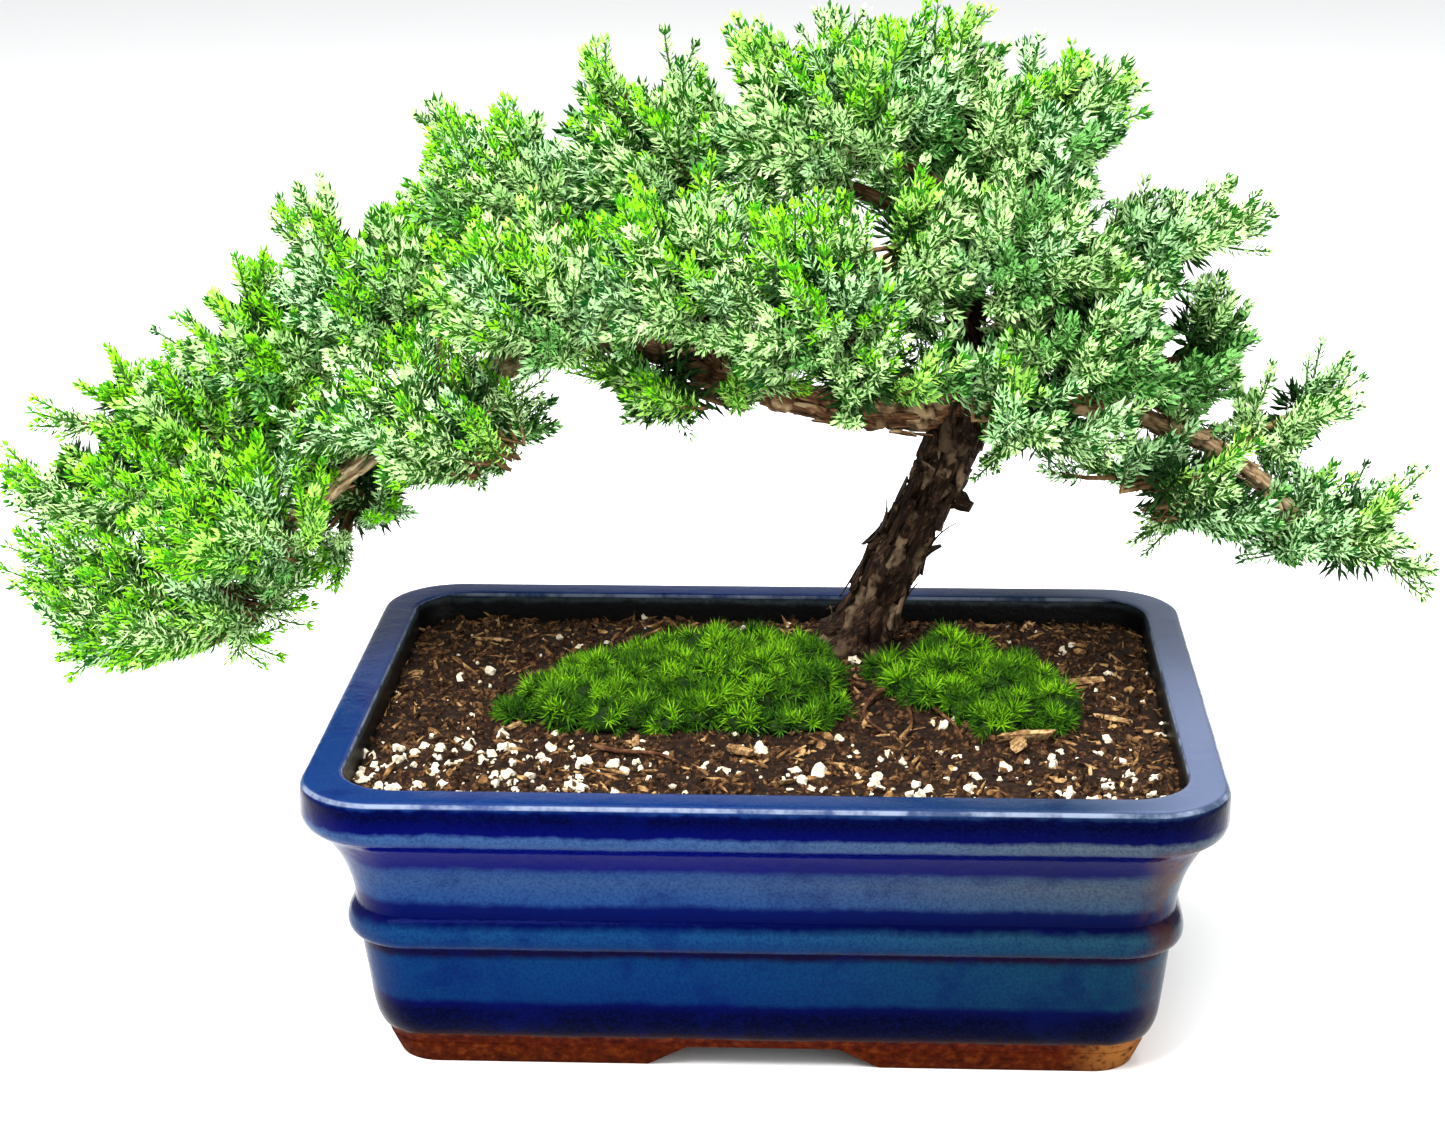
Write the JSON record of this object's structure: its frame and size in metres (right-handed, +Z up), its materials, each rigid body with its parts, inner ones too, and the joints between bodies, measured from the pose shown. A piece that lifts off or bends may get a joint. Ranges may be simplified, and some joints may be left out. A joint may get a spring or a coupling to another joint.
{
  "type": "potted bonsai tree",
  "caption": "Juniper bonsai with a leaning trunk and a low, wide crown that sweeps over one side, in a rectangular glazed pot with soil and moss.",
  "frame": {"origin": "on the floor that the pot stands on, under the middle of the whole plant's outline seen from above", "axes": "+X along the pot's long side towards the end that the trunk stands nearer to, +Z up, -Y towards the side that the picture shows"},
  "size_m": [0.352, 0.1852, 0.2259],
  "materials": {
    "glaze": "dark blue glaze, glossy and finely mottled, worn to brown at its edges",
    "clay": "bare fired clay, matt",
    "soil": "loose dark potting mix, matt",
    "moss": "soft, matt",
    "bark": "rough flaking bark, matt",
    "needles": "short stiff needles, satin"
  },
  "bodies": {
    "root": {"pot": "glaze", "pot_foot_back_left": "clay", "pot_foot_back_right": "clay", "pot_foot_front_left": "clay", "pot_foot_front_right": "clay", "soil": "soil", "moss_left": "moss", "moss_right": "moss", "apex_back_bough": "bark", "apex_left_bough": "bark", "back_bough": "bark", "back_rise_inner": "bark", "back_rise_outer": "bark", "back_side_bough": "bark", "front_bough": "bark", "left_bough_inner": "bark", "left_bough_middle": "bark", "left_bough_outer": "bark", "left_side_bough": "bark", "right_bough_inner": "bark", "right_bough_outer": "bark", "rise_end": "bark", "rise_inner": "bark", "rise_outer": "bark", "trunk": "bark", "upper_left_bough": "bark", "upper_right_bough": "bark", "mass_apex": "needles", "mass_apex_back": "needles", "mass_apex_front": "needles", "mass_apex_left": "needles", "mass_apex_right": "needles", "mass_back_left": "needles", "mass_back_middle": "needles", "mass_back_right": "needles", "mass_crown_left": "needles", "mass_front": "needles", "mass_front_left": "needles", "mass_front_low": "needles", "mass_front_middle": "needles", "mass_front_right": "needles", "mass_left_back": "needles", "mass_left_front": "needles", "mass_left_inner": "needles", "mass_left_rise": "needles", "mass_left_shoulder": "needles", "mass_left_slope": "needles", "mass_left_tip": "needles", "mass_left_under": "needles", "mass_low_left": "needles", "mass_right_front": "needles", "mass_right_rise": "needles", "mass_right_shoulder": "needles", "mass_right_side": "needles", "mass_right_tip": "needles", "mass_right_under": "needles", "mass_under_middle": "needles", "mass_upper_left": "needles", "mass_upper_right": "needles"}
  },
  "joints": []
}
